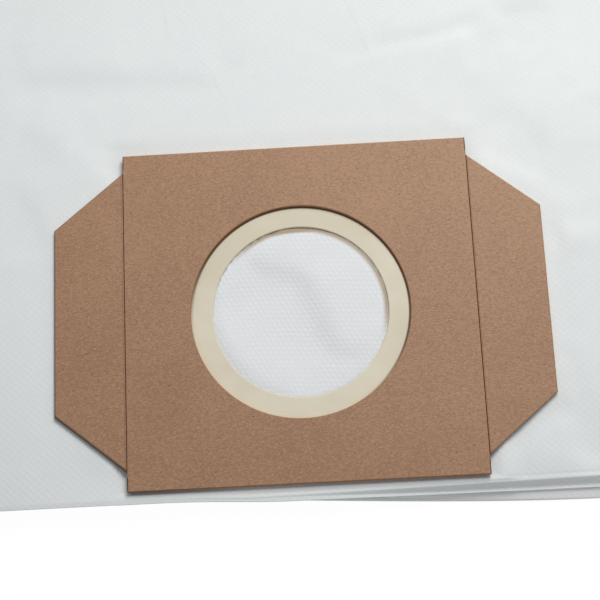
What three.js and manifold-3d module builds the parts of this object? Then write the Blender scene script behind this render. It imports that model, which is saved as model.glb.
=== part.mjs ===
// Vacuum cleaner dust bag, flat as it leaves its box, with a kraft board collar on its front panel.
//
// Millimetres, +Z up. The bag lies on its back panel at z = 0, its length runs along X, and the collar
// sits near the -Y side. The origin is the middle of the bag's footprint.
//
// Pieces: filter_bag (one folded and welded web), back_board, seal_ring and front_board, glued in a
// stack. The inlet goes through all four: pipe, seal, boards, front panel.

import * as THREE from 'three';
import { mergeVertices } from 'three/addons/utils/BufferGeometryUtils.js';
import Module from 'manifold-3d';

const wasm = await Module();
wasm.setup();

// Web and bag
const WEB = 0.5;              // thickness of the non-woven
const BAG_LENGTH = 440;       // along X, over both end welds
const BAG_WIDTH = 290;        // along Y, between the two long sides where the plies lie even
const CLEAR_HEIGHT = 4.4;     // between back and front panel under the collar
const GUSSET_DEPTH = 25;      // how far each side is folded in
const LOBE_GAP = 0.9;         // inside each folded edge, between its two plies
const WELD_WIDTH = 8;         // end weld
const WELD_OVERLAP = 1;       // how far the weld reaches over the end of the open tube
const PRESSED_GAP = 0.05;     // what is left of the gaps where the tube meets a weld, share of full
const END_SLOPE = 70;         // length over which the tube flattens towards a weld
const CROWN = 4.5;            // how far the front panel stands up behind the collar
const PLY_STEP = 12;          // width over which two plies become four at a gusset

// Slipped near side: the plies fan out on one stretch
const FAN_CENTRE = 90;        // X of the widest place
const FAN_REACH = 140;        // half the length of the stretch
const FAN_SHAPE = 1.5;        // power of the cosine that it follows: higher starts more gently
const FRONT_SLIP = 1.9;       // front fold, inwards
const CREASE_SLIP = 1.1;      // crease of the lower fold, outwards
const BACK_SLIP = 4.4;        // back fold, outwards
const BACK_TUCK = 1.3;        // how far the back fold lies inside the front fold elsewhere

// Collar
const PANEL_WIDTH = 104.5;    // centre panel, along X
const PANEL_HEIGHT = 103.2;   // centre panel, along Y
const COLLAR_INSET = 2.85;    // from the bag's near side to the panel's edge
const WING_WIDTH = 21;        // how far each wing reaches out
const WING_NOTCH = 5.6;       // panel edge to the wing's root, at each end
const WING_TIP = 57.4;        // length of the wing's outer edge
const FRONT_BOARD = 1.2;      // thickness
const BACK_BOARD = 1.4;       // thickness
const BOARD_TRIM = 0.2;       // back board smaller than the front panel, each side
const BOARD_HOLE = 65;        // diameter, both boards
const SCORE_WIDTH = 0.4;      // cut score at a wing's root
const SCORE_DEPTH = 0.5;

// Seal
const SEAL_THICK = 0.5;
const SEAL_HOLE = 52.2;       // diameter, grips the pipe
const SEAL_GRIP = 6.5;        // how far the boards reach over the ring
const SEAL_PLAY = 0.3;        // around the ring in its seat

// Inlet in the front panel
const INLET_MARGIN = 3;       // the web is cut back from the seal's hole by this, each side

// Fineness
const ARC_STEPS = 4;          // segments in a folded edge
const FRONT_STEPS = 14;       // segments across the crowned panel
const STATIONS_EACH = 17;     // sections in each half of the bag
const HOLE_SIDES = 72;

const KRAFT = 0xab8a70;
const CREAM = 0xd2cab5;
const WHITE = 0xe4e8e9;

// Places worked out from the sizes
const bagTop = WEB + CLEAR_HEIGHT + WEB;
const notchGap = CLEAR_HEIGHT - 2 * WEB - 2 * LOBE_GAP;
const nearSide = (BACK_SLIP - BAG_WIDTH) / 2;
const farSide = nearSide + BAG_WIDTH;
const collarY = nearSide + COLLAR_INSET + PANEL_HEIGHT / 2;
const flatEnd = collarY + PANEL_HEIGHT / 2 + 2;
const tubeEnd = BAG_LENGTH / 2 - WELD_WIDTH + WELD_OVERLAP;
const backBoardTop = bagTop + BACK_BOARD;
const faceTop = backBoardTop + FRONT_BOARD;
const sealOuter = BOARD_HOLE + 2 * SEAL_GRIP;

const smooth = (t) => {
  const c = Math.min(Math.max(t, 0), 1);
  return c * c * (3 - 2 * c);
};

// 1 where the plies lie free, falling to 0 where the tube runs into a weld.
const free = (x) => smooth((tubeEnd - Math.abs(x)) / END_SLOPE);

// Share of the gaps between the plies that is open at x.
const openness = (x) => PRESSED_GAP + (1 - PRESSED_GAP) * free(x);

// 1 in the middle of the slipped stretch, and 0 outside it and at a weld, which holds the plies even.
function fan(x) {
  const t = Math.abs(x - FAN_CENTRE) / FAN_REACH;
  return t < 1 ? free(x) * Math.cos((Math.PI / 2) * t) ** FAN_SHAPE : 0;
}

// Middle heights of the four plies at a gusset: back, lower gusset, upper gusset, front.
function plyHeights(open) {
  const back = WEB / 2;
  const lower = back + WEB + LOBE_GAP * open;
  const upper = lower + WEB + notchGap * open;
  const front = upper + WEB + LOBE_GAP * open;
  return { back, lower, upper, front };
}

// Middle height of the front panel at y: four plies deep over the gussets, two between them, and
// crowned behind the collar.
function frontHeight(y, open) {
  const overGusset = plyHeights(open).front;
  const between = WEB / 2 + WEB + CLEAR_HEIGHT * open;
  const inner = Math.min(y - nearSide, farSide - y) - GUSSET_DEPTH;
  const level = overGusset + (between - overGusset) * smooth(inner / PLY_STEP);
  const t = (y - flatEnd) / (farSide - flatEnd);
  const crown = t > 0 && t < 1 ? Math.sin(Math.PI * t) ** 2 : 0;
  return level + CROWN * crown * open;
}

// Where the front panel is sampled across the bag, from gusset to gusset.
function acrossPanel() {
  const nearGusset = nearSide + GUSSET_DEPTH;
  const farGusset = farSide - GUSSET_DEPTH;
  const crowned = Array.from({ length: FRONT_STEPS + 1 }, (_, i) => (
    flatEnd + ((farGusset - flatEnd) * i) / FRONT_STEPS
  ));
  return [nearGusset, nearGusset + PLY_STEP, ...crowned];
}

const mix = (from, to, share) => from.map((value, k) => value + (to[k] - value) * share);

// Points of a half circle from (y, z0) to (y, z1) that bulges by side (-1 or 1) along Y.
function halfCircle(y, z0, z1, side) {
  const radius = Math.abs(z1 - z0) / 2;
  const middle = (z0 + z1) / 2;
  const up = Math.sign(z1 - z0);
  return Array.from({ length: ARC_STEPS + 1 }, (_, i) => {
    const angle = -Math.PI / 2 + (Math.PI * i) / ARC_STEPS;
    return [y + side * radius * Math.cos(angle), middle + up * radius * Math.sin(angle)];
  });
}

// The web's middle line around the tube at x, as points [y, z]. It starts on the back panel, runs
// up the near side and its gusset, over the front panel and down the far side.
function middleLine(x) {
  const open = openness(x);
  const ply = plyHeights(open);
  const slip = fan(x);
  const lobe = (ply.front - ply.upper) / 2;
  const frontFold = nearSide + FRONT_SLIP * slip;
  const backFold = nearSide + BACK_TUCK * (1 - slip) - BACK_SLIP * slip;
  const crease = nearSide - CREASE_SLIP;
  const nearGusset = nearSide + GUSSET_DEPTH;
  const farGusset = farSide - GUSSET_DEPTH;
  const hem = lobe / 2;

  const evenFold = halfCircle(backFold + lobe, ply.back, ply.lower, -1);
  const slippedFold = [
    [backFold + hem, ply.back],
    [backFold, ply.back + hem],
    [backFold + hem, ply.back + 2 * hem],
    [crease - hem, ply.lower - hem / 4],
    [crease + hem, ply.lower],
  ];
  const nearLower = evenFold.map((point, i) => mix(point, slippedFold[i], slip));
  const nearNotch = halfCircle(nearGusset, ply.lower, ply.upper, 1);
  const nearUpper = halfCircle(frontFold + lobe, ply.upper, ply.front, -1);
  const farUpper = halfCircle(farSide - lobe, ply.front, ply.upper, 1);
  const farNotch = halfCircle(farGusset, ply.upper, ply.lower, -1);
  const farLower = halfCircle(farSide - lobe, ply.lower, ply.back, 1);

  const front = acrossPanel().map((y) => [y, frontHeight(y, open)]);
  return [...nearLower, ...nearNotch, ...nearUpper, ...front, ...farUpper, ...farNotch, ...farLower];
}

// The closed line moved sideways by distance, with mitred corners. Positive is to the left of travel.
function offsetLine(line, distance) {
  const count = line.length;
  const normal = (a, b) => {
    const dy = b[0] - a[0];
    const dz = b[1] - a[1];
    const length = Math.hypot(dy, dz);
    return [-dz / length, dy / length];
  };
  return line.map((point, i) => {
    const before = normal(line[(i + count - 1) % count], point);
    const after = normal(point, line[(i + 1) % count]);
    const spread = 1 + before[0] * after[0] + before[1] * after[1];
    const reach = distance / Math.max(spread, 0.5);
    return [point[0] + (before[0] + after[0]) * reach, point[1] + (before[1] + after[1]) * reach];
  });
}

// A closed solid through rings of points [x, y, z], all with the same count, capped at both ends.
function loft(rings) {
  const count = rings[0].length;
  const positions = rings.flat(2);
  const index = [];
  for (let r = 0; r < rings.length - 1; r++) {
    for (let i = 0; i < count; i++) {
      const a = r * count + i;
      const b = r * count + ((i + 1) % count);
      index.push(a, a + count, b, b, a + count, b + count);
    }
  }
  const cap = (ring, base, turn) => {
    const outline = ring.map(([, y, z]) => new THREE.Vector2(y, z));
    const wanted = turn * Math.sign(THREE.ShapeUtils.area(outline));
    for (const [a, b, c] of THREE.ShapeUtils.triangulateShape(outline, [])) {
      const runs = THREE.ShapeUtils.area([outline[a], outline[b], outline[c]]) * wanted > 0;
      index.push(base + a, base + (runs ? b : c), base + (runs ? c : b));
    }
  };
  cap(rings[0], 0, 1);
  cap(rings[rings.length - 1], (rings.length - 1) * count, -1);
  const geometry = new THREE.BufferGeometry();
  geometry.setAttribute('position', new THREE.Float32BufferAttribute(positions, 3));
  geometry.setIndex(index);
  return geometry;
}

// three.js geometry to a manifold solid, turned right side out if its volume comes out negative.
function toSolid(geometry) {
  const bare = geometry.clone();
  bare.deleteAttribute('normal');
  bare.deleteAttribute('uv');
  const merged = mergeVertices(bare, 1e-5);
  const vertProperties = new Float32Array(merged.attributes.position.array);
  const triVerts = new Uint32Array(merged.index.array);
  if (signedVolume(vertProperties, triVerts) < 0) {
    for (let t = 0; t < triVerts.length; t += 3) {
      [triVerts[t + 1], triVerts[t + 2]] = [triVerts[t + 2], triVerts[t + 1]];
    }
  }
  return new wasm.Manifold(new wasm.Mesh({ numProp: 3, vertProperties, triVerts }));
}

function signedVolume(points, triangles) {
  let sum = 0;
  const corner = (i) => new THREE.Vector3().fromArray(points, 3 * triangles[i]);
  for (let t = 0; t < triangles.length; t += 3) {
    sum += corner(t).dot(corner(t + 1).cross(corner(t + 2)));
  }
  return sum / 6;
}

function toGeometry(solid) {
  const mesh = solid.getMesh();
  const geometry = new THREE.BufferGeometry();
  geometry.setAttribute('position', new THREE.BufferAttribute(mesh.vertProperties, 3));
  geometry.setIndex(new THREE.BufferAttribute(mesh.triVerts, 1));
  return geometry;
}

function piece(name, solid, color, roughness) {
  const geometry = toGeometry(solid);
  geometry.computeVertexNormals();
  const material = new THREE.MeshStandardMaterial({ color, roughness, metalness: 0 });
  const mesh = new THREE.Mesh(geometry, material);
  mesh.name = name;
  return mesh;
}

// A flat plate of the outline between two heights, around the collar's centre.
function plate(outline, bottom, top) {
  const depth = top - bottom;
  const shape = new THREE.Shape(outline.map(([x, y]) => new THREE.Vector2(x, y)));
  const geometry = new THREE.ExtrudeGeometry(shape, { depth, bevelEnabled: false });
  geometry.translate(0, collarY, bottom);
  return toSolid(geometry);
}

function disc(diameter, bottom, top) {
  const geometry = new THREE.CylinderGeometry(diameter / 2, diameter / 2, top - bottom, HOLE_SIDES);
  geometry.rotateX(Math.PI / 2);
  geometry.translate(0, collarY, (bottom + top) / 2);
  return toSolid(geometry);
}

// X of each section: close together where the tube flattens and where the near side slips.
function stations() {
  const list = [];
  for (let i = -STATIONS_EACH; i <= STATIONS_EACH; i++) {
    list.push(tubeEnd * Math.sin((Math.PI / 2) * (i / STATIONS_EACH)));
  }
  return list;
}

// The end weld: all plies pressed into one strip, four deep over the gussets and two between them.
function weld(side) {
  const inner = tubeEnd - WELD_OVERLAP;
  const outer = BAG_LENGTH / 2;
  const across = [nearSide, ...acrossPanel(), farSide];
  const top = across.map((y) => [y, frontHeight(y, PRESSED_GAP) + WEB / 2]);
  const outline = [[farSide, 0], [nearSide, 0], ...top];
  return toSolid(loft([inner, outer].map((x) => outline.map(([y, z]) => [side * x, y, z]))));
}

function filterBag() {
  const rings = stations().map((x) => ({ x, line: middleLine(x) }));
  const skin = (distance) => toSolid(
    loft(rings.map(({ x, line }) => offsetLine(line, distance).map(([y, z]) => [x, y, z]))),
  );
  const tube = skin(WEB / 2).subtract(skin(-WEB / 2));
  const inlet = disc(SEAL_HOLE + 2 * INLET_MARGIN, bagTop - 2 * WEB, bagTop + WEB);
  return tube.add(weld(-1)).add(weld(1)).subtract(inlet);
}

function wingedOutline() {
  const halfWidth = PANEL_WIDTH / 2;
  const halfHeight = PANEL_HEIGHT / 2;
  const root = halfHeight - WING_NOTCH;
  const quarter = [
    [halfWidth + WING_WIDTH, WING_TIP / 2],
    [halfWidth, root],
    [halfWidth, halfHeight],
  ];
  const across = quarter.map(([x, y]) => [-x, y]).reverse();
  const upper = [...quarter, ...across];
  const lower = upper.map(([x, y]) => [x, -y]).reverse();
  return [...upper, ...lower];
}

// A V groove across the wing's root, cut into the face of the board.
function score(side) {
  const x = side * PANEL_WIDTH / 2;
  const root = PANEL_HEIGHT / 2 - WING_NOTCH;
  const shape = new THREE.Shape([
    new THREE.Vector2(x, -SCORE_DEPTH),
    new THREE.Vector2(x + SCORE_WIDTH, SCORE_DEPTH),
    new THREE.Vector2(x - SCORE_WIDTH, SCORE_DEPTH),
  ]);
  const geometry = new THREE.ExtrudeGeometry(shape, { depth: 2 * root, bevelEnabled: false });
  geometry.rotateX(Math.PI / 2);
  geometry.translate(0, collarY + root, faceTop);
  return toSolid(geometry);
}

function frontBoard() {
  const sheet = plate(wingedOutline(), backBoardTop, faceTop);
  const hole = disc(BOARD_HOLE, backBoardTop - 1, faceTop + 1);
  return sheet.subtract(hole).subtract(score(-1)).subtract(score(1));
}

function backBoard() {
  const x = PANEL_WIDTH / 2 - BOARD_TRIM;
  const y = PANEL_HEIGHT / 2 - BOARD_TRIM;
  const sheet = plate([[x, y], [-x, y], [-x, -y], [x, -y]], bagTop, backBoardTop);
  const hole = disc(BOARD_HOLE, bagTop - 1, backBoardTop + 1);
  const seat = disc(sealOuter + 2 * SEAL_PLAY, backBoardTop - SEAL_THICK, backBoardTop + 1);
  return sheet.subtract(hole).subtract(seat);
}

function sealRing() {
  const ring = disc(sealOuter, backBoardTop - SEAL_THICK, backBoardTop);
  return ring.subtract(disc(SEAL_HOLE, bagTop, backBoardTop + 1));
}

const dustBag = new THREE.Group();
dustBag.add(
  piece('filter_bag', filterBag(), WHITE, 0.95),
  piece('back_board', backBoard(), KRAFT, 0.9),
  piece('seal_ring', sealRing(), CREAM, 0.45),
  piece('front_board', frontBoard(), KRAFT, 0.9),
);

export default dustBag;
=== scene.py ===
# %% [markdown]
# A vacuum cleaner dust bag, flat and unused, with its kraft board collar up. The solids of the bag, the
# two boards and the rubber ring are loaded first, and everything here is fitted to them. The web of the
# bag, the front board and the ring are then made again as finer surfaces, and all four get a finish.

# %% Load the frame
import math

import bpy
import numpy as np
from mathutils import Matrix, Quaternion, Vector


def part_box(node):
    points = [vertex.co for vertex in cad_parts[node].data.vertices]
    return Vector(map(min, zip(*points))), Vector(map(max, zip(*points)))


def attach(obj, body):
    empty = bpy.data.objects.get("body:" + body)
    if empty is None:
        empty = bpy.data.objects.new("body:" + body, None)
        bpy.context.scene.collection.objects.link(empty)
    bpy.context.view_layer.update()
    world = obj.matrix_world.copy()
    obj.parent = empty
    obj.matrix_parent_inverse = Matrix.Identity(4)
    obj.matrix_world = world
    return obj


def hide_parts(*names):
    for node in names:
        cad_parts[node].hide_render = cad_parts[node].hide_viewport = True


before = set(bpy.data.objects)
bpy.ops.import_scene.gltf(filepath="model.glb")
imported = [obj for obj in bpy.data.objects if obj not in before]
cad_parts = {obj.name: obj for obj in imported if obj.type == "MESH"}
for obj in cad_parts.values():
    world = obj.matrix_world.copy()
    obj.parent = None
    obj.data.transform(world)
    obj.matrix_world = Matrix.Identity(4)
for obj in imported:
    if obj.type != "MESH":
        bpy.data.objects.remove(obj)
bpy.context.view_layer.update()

# %% [markdown]
# Blender works in metres here, while a maker of such bags thinks in millimetres. Sizes are therefore
# written in millimetres and multiplied once by MM. What the solids already settle, such as where the
# collar lies, is read from their boxes and isn't repeated.

# %% Sizes that the pieces share
MM = 0.001
WEB = 0.5 * MM
bag_low, bag_high = (np.array(corner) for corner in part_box("filter_bag"))
board_low, board_high = (np.array(corner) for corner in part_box("front_board"))
trap_low, trap_high = (np.array(corner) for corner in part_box("back_board"))
ring_low, ring_high = (np.array(corner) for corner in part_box("seal_ring"))

collar = (board_low + board_high) / 2
face_z = board_high[2]
web_top = trap_low[2]
print("collar centre", (collar[:2] / MM).round(2), "mm, face at", round(face_z / MM, 2), "mm")

# %% [markdown]
# Every new piece is a sheet of points in rows and columns. This cell turns such a sheet into a mesh: each
# group of four neighbours becomes one face. A sheet that closes on itself joins its last column to the
# first. Faces can be left out with a mask, which is how a hole is cut.

# %% Points in rows and columns, made into faces
def quads(rows, columns, closed=False):
    """Corner numbers of every face of a grid, as (row faces, column faces, 4), counter-clockwise."""
    across = columns if closed else columns - 1
    row, column = np.meshgrid(np.arange(rows - 1), np.arange(across), indexing="ij")
    beside = (column + 1) % columns
    corners = [row * columns + column, (row + 1) * columns + column, (row + 1) * columns + beside]
    return np.stack([*corners, row * columns + beside], axis=-1)


def mesh_object(name, points, faces, smooth=True):
    """A new object from points (n, 3) in metres and faces, each a list of point numbers."""
    used, renumbered = np.unique(faces, return_inverse=True)
    mesh = bpy.data.meshes.new(name)
    mesh.from_pydata(points[used].tolist(), [], renumbered.reshape(faces.shape).tolist())
    mesh.polygons.foreach_set("use_smooth", np.full(len(faces), smooth))
    mesh.update()
    piece = bpy.data.objects.new(name, mesh)
    bpy.context.scene.collection.objects.link(piece)
    return piece


def set_uv(piece, corner_uv):
    """Gives every corner of every face its place on the flat web, in metres."""
    layer = piece.data.uv_layers.new(name="web")
    layer.data.foreach_set("uv", np.ascontiguousarray(corner_uv, dtype=np.float32).ravel())


def smooth_step(t):
    """0 below 0, 1 above 1, and an S between: 3 t squared less 2 t cubed."""
    t = np.clip(t, 0, 1)
    return t * t * (3 - 2 * t)


# %% [markdown]
# The bag starts as a flat web of spunbond non-woven. A machine folds it over a former into a tube, tucks a
# gusset into each long side and welds both ends. The shape is therefore one section, drawn across the bag
# as a line through the middle of the web, and carried along its length. Along the way the section
# changes: it flattens towards the welds, and on one stretch of the near side the plies have slipped.

# %% Sizes of the folded web
GUSSET = 25 * MM
LOBE_GAP = 0.9 * MM
CLEAR = web_top - 2 * WEB
NOTCH_GAP = CLEAR - 2 * WEB - 2 * LOBE_GAP
WELD = 8 * MM
END_SLOPE = 70 * MM
CROWN = 4.5 * MM
PLY_STEP = 12 * MM
FAN_CENTRE, FAN_REACH, FAN_SHAPE = 90 * MM, 140 * MM, 1.5
BACK_SLIP, BACK_TUCK = 4.4 * MM, 1.3 * MM
INLET = 58.2 * MM

half_length = bag_high[0]
far_side = bag_high[1] - WEB / 2
near_side = bag_low[1] + WEB / 2 + BACK_SLIP
flat_end = trap_high[1] + 2 * MM
weld_start = half_length - WELD
print("the long sides lie at", round(near_side / MM, 2), "and", round(far_side / MM, 2), "mm")


def free(x):
    """1 where the plies lie free, falling to 0 where the tube runs into a weld."""
    return smooth_step((weld_start - np.abs(x)) / END_SLOPE)


def fan(x):
    """How far the near side has slipped: a power of a cosine around the widest place."""
    t = np.clip(np.abs(x - FAN_CENTRE) / FAN_REACH, 0, 1)
    return free(x) * np.cos(np.pi / 2 * t) ** FAN_SHAPE


# %% Where the section is sampled
def lines(*stops):
    """Places between stops, each stop being (position, spacing up to the next one)."""
    parts = []
    for (start, spacing), (end, _) in zip(stops[:-1], stops[1:]):
        count = max(int(round(abs(end - start) / spacing)), 1)
        parts.append(np.linspace(start, end, count, endpoint=False))
    return np.concatenate([*parts, [stops[-1][0]]])


SHOWN = 105 * MM
stations = lines(
    (-half_length, 1.6 * MM),
    (-weld_start, 4.4 * MM),
    (-SHOWN, 2.0 * MM),
    (SHOWN, 4.4 * MM),
    (weld_start, 1.6 * MM),
    (half_length, 0),
)
print(len(stations), "sections along the bag")

# %% [markdown]
# Flat non-woven is never quite flat. It remembers how it was packed: long soft creases, dents, and broad
# waves a few tenths of a millimetre high, which only show because the light rakes over them. The creases
# are listed as lines on the panel, in millimetres from the inlet's centre. Each is a short slope
# across its line: one that rises towards the lamp's side shows dark, and one that falls shows bright. The
# broad waves are a sum of sine waves with seeded directions. All of it fades out under the collar, and a
# dip is limited, because another ply lies close below.

# %% Creases of the web
# Each crease: start, end, half width, and how steeply it rises towards the lamp
CREASES = [
    ((-84.8, 80.1), (-52.9, 78.3), 3.2, 0.16),
    ((-56.0, 78.7), (-24.2, 75.9), 2.8, 0.13),
    ((-18.4, 81.2), (-6.6, 79.5), 2.1, 0.13),
    ((-10.9, 73.1), (12.7, 78.9), 1.0, -0.16),
    ((12.7, 78.9), (24.1, 81.2), 0.9, -0.20),
    ((24.1, 81.2), (60.6, 87.5), 1.0, -0.17),
    ((28.1, 86.9), (46.3, 88.4), 1.4, 0.16),
    ((44.5, 88.9), (61.0, 93.1), 1.5, 0.16),
    ((66.6, 93.4), (80.8, 95.9), 2.7, 0.28),
    ((62.9, 85.1), (81.5, 93.2), 1.5, 0.15),
    ((-10.3, 71.1), (0.3, 65.9), 2.0, 0.15),
    ((-1.9, 66.6), (7.3, 58.2), 1.8, 0.14),
    ((13.9, 71.9), (29.0, 65.8), 1.5, 0.13),
    ((29.0, 65.8), (49.8, 54.6), 1.5, 0.15),
    ((49.8, 54.9), (55.9, 58.5), 2.1, -0.18),
    ((56.2, 87.5), (55.4, 75.7), 1.5, -0.27),
    ((50.0, 69.7), (55.9, 54.6), 1.8, -0.14),
    ((65.7, 62.2), (76.9, 50.0), 3.0, 0.12),
    ((67.6, 48.6), (93.3, 46.7), 1.5, 0.08),
    ((81.9, 64.2), (95.2, 66.0), 1.1, -0.10),
    ((88.4, 89.5), (87.8, 68.4), 1.2, -0.25),
    ((53.3, 48.2), (74.2, 37.2), 2.4, -0.23),
    ((74.2, 37.2), (82.4, 28.3), 2.4, -0.19),
    ((79.4, 21.5), (79.0, 14.0), 2.0, 0.40),
    ((77.8, 23.5), (77.3, -10.0), 1.8, 0.24),
    ((76.3, -11.5), (80.9, -24.7), 1.8, 0.25),
    ((80.3, -24.6), (84.4, -47.5), 2.4, 0.32),
    ((77.4, -31.0), (80.2, -49.3), 1.8, -0.18),
    ((-83.6, 44.9), (-78.0, 29.4), 2.6, 0.14),
    ((-88.6, 20.5), (-75.0, 23.5), 2.1, -0.11),
    ((-84.3, 63.1), (-71.2, 53.0), 3.8, 0.08),
    ((-62.6, 48.6), (-51.8, 52.9), 1.8, 0.11),
    ((-74.9, 72.1), (-59.3, 71.1), 1.8, -0.07),
    ((96.0, 60.0), (150.0, 118.0), 3.0, 0.14),
    ((-150.0, 10.0), (-104.0, 64.0), 3.0, -0.12),
    ((-178.0, 120.0), (-60.0, 152.0), 2.6, 0.15),
    ((20.0, 168.0), (170.0, 142.0), 3.2, -0.10),
    ((77.0, 4.0), (106.0, 4.0), 11.0, 0.055),
    ((62.0, -35.0), (79.0, -35.0), 5.0, -0.16),
    ((91.0, -24.0), (92.0, -46.0), 4.0, 0.08),
]
INSIDE_CREASES = [
    ((-13.8, 14.4), (0.6, 12.0), 2.2, 0.20),
    ((0.6, 12.0), (9.4, -13.5), 2.6, 0.26),
    ((-14.8, 18.9), (-11.4, 14.3), 1.4, 0.15),
    ((-25.6, 2.0), (-14.4, -18.2), 2.6, -0.10),
    ((9.4, -13.5), (20.1, -12.8), 1.6, 0.12),
    ((-24.0, 4.0), (2.0, -24.0), 6.0, -0.09),
]
TO_LAMP = (0.43, 0.90)
print(len(CREASES), "creases on the front panel and", len(INSIDE_CREASES), "seen through the inlet")

# %% How high a crease or a wave stands, in millimetres
CREASE_END, CREASE_FADE, CREASE_REACH = 3, 7, 5
WAVES, WAVE_SLOPE = 26, 0.0065


def crease_height(x, y, start, end, half_width, rise):
    """A slope across the line that levels out within the half width, and ends that fade away."""
    (x0, y0), (x1, y1) = start, end
    length = math.hypot(x1 - x0, y1 - y0)
    along = ((x - x0) * (x1 - x0) + (y - y0) * (y1 - y0)) / length
    across = ((y - y0) * (x1 - x0) - (x - x0) * (y1 - y0)) / length
    across = across * np.sign((x1 - x0) * TO_LAMP[1] - (y1 - y0) * TO_LAMP[0])
    begin, end = along + CREASE_END, length + CREASE_END - along
    fade = smooth_step(begin / CREASE_FADE) * smooth_step(end / CREASE_FADE)
    away = across / half_width
    return fade * rise * half_width * np.tanh(away) * np.exp(-((away / CREASE_REACH) ** 2))


def wave_height(x, y, seed, shortest=22, longest=95):
    """Sine waves of many directions. Each is as high as gives all of them the same slope."""
    draw = np.random.default_rng(seed)
    total = np.zeros_like(x)
    for _ in range(WAVES):
        length = draw.uniform(shortest, longest)
        turn = draw.uniform(0, np.pi)
        phase = draw.uniform(0, 2 * np.pi)
        ripple = np.sin(2 * np.pi * (x * np.cos(turn) + y * np.sin(turn)) / length + phase)
        total += WAVE_SLOPE * length / (2 * np.pi) * ripple
    return total


# %% What creases and waves add to the front panel
# The collar's outline in millimetres: half its panel, the root of a wing, and how its slant runs
HALF_PANEL, WING_ROOT, SLANT, SLANT_COSINE = 52.25, 46.0, 0.82, 0.77
STIFF_RIM, RELIEF_FADE, SIDE_FADE = 0.4, 6, 9 * MM
# A dip deeper than the first value gets at most the second deeper
DEEP, DEEPER = -0.35, 0.35


def outside_collar(x, y):
    """0 under the board's panel and wings, rising to 1 some millimetres beyond their edges."""
    half = (board_high - board_low)[:2] / 2 / MM
    beside_panel = np.maximum(np.abs(x) - HALF_PANEL, np.abs(y) - half[1])
    slanted = (np.abs(y) - WING_ROOT + SLANT * (np.abs(x) - HALF_PANEL)) * SLANT_COSINE
    beside_wing = np.maximum(np.abs(x) - half[0], slanted)
    return smooth_step((np.minimum(beside_panel, beside_wing) - STIFF_RIM) / RELIEF_FADE)


def panel_relief(x, y):
    """Height that creases and waves add to the front panel at (x, y), all in metres."""
    px, py = (x - collar[0]) / MM, (y - collar[1]) / MM
    total = wave_height(px, py, seed=5)
    for crease in CREASES:
        total = total + crease_height(px, py, *crease)
    edge = smooth_step((y - near_side) / SIDE_FADE) * smooth_step((far_side - y) / SIDE_FADE)
    total = total * outside_collar(px, py) * edge
    return np.where(total < DEEP, DEEP + DEEPER * np.tanh((total - DEEP) / DEEPER), total) * free(x) * MM


# %% [markdown]
# The collar is stiff and the web is limp. Beside the collar the panel therefore stands a little higher than
# under it, and comes down again further out. Where the near side has slipped, the panel is slack and the
# lift is lost. Under the inlet the back panel swells up until it almost touches the ring, so that the hole
# shows a white web close below, with one strip at its far side where a fold falls away a little and the
# inner face is painted a dim brown, as painted shade.

# %% The panel beside the collar
# The line where the board holds the web, in millimetres from the collar's centre, along X and along Y
HELD_X, HELD_Y = 52.45, 51.4
LIFT, LIFT_NEAR, LIFT_FAR = 1.3 * MM, 0.6, 0.4
# Each ramp: where it starts or ends, and its width, in millimetres from the collar's centre
LIFT_END_X, LIFT_END_Y = (150, 70), (112, 60)
SLACK_BESIDE, SLACK_STRIP, SLACK_CHANGE = (-20, 30), (-52.4, 1.6), (54, 8)


def collar_lift(x, y):
    """Height by which the stiff collar holds the front panel up beside its own edges, in metres."""
    px, py = np.abs(x - collar[0]) / MM, (y - collar[1]) / MM
    beside = smooth_step((px - HELD_X) / (4.5 + 1.2 * np.maximum(py - 44, 0)))
    nearer = LIFT_NEAR * smooth_step((-HELD_Y - py) / 1.3)
    beyond = LIFT_FAR * smooth_step((py - HELD_Y) / 7)
    held = np.maximum(np.maximum(beside, nearer), beyond)
    (end_x, fade_x), (end_y, fade_y) = LIFT_END_X, LIFT_END_Y
    faded = smooth_step((end_x - px) / fade_x) * smooth_step((end_y - py) / fade_y)
    slipped = smooth_step(1.5 * fan(x))
    free_slack = 1 - slipped * smooth_step((SLACK_BESIDE[0] - py) / SLACK_BESIDE[1])
    strip_slack = 1 - 0.5 * slipped * smooth_step((SLACK_STRIP[0] - py) / SLACK_STRIP[1])
    change = smooth_step((px - SLACK_CHANGE[0]) / SLACK_CHANGE[1])
    return LIFT * held * faded * (strip_slack + (free_slack - strip_slack) * change)


# %% The back panel under the inlet, in millimetres
# Each swelling: its height, the distance at which it ends, and the width over which it rises
MOUND, MOUND_IN_HOLE = (3.85, 82, 52), (1.76, 28.4, 2.5)
# The fold at the inlet's far side: a point on it, how it leans, and how far and fast the web falls there
FOLD_X, FOLD_Y, FOLD_LEAN, FOLD_FALL, FOLD_WIDTH = -6.7, 23.6, 0.061, 0.25, 1.8
NEAR_GUSSET_END, NEAR_GUSSET_FADE = -28.4, 1.6
# How high it stands everywhere, and its share of the waves
AT_REST, FLOOR_WAVES = 0.12, 0.6
# How high it may stand under the gussets and boards, and how much more inside the web's hole and the ring's
CEILING, CEILING_IN_WEB, CEILING_IN_RING = 4.35, (1.31, 29.0, 1.2), (0.9, 25.6, 2.5)


def dome(away, height, end, width):
    """Full height up to the end less the width, and 0 from the end on."""
    return height * smooth_step((end - away) / width)


def inlet_mound(px, py):
    """The back panel swells up under the inlet, right to the ring, and clears the gusset and the web."""
    away = np.hypot(px, py)
    beyond_fold = (py - FOLD_Y) - (px - FOLD_X) * FOLD_LEAN
    mound = dome(away, *MOUND) + dome(away, *MOUND_IN_HOLE)
    mound = mound - FOLD_FALL * smooth_step(beyond_fold / FOLD_WIDTH) * dome(away, 1, 29, 2)
    return mound * smooth_step((py - NEAR_GUSSET_END) / NEAR_GUSSET_FADE)


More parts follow.
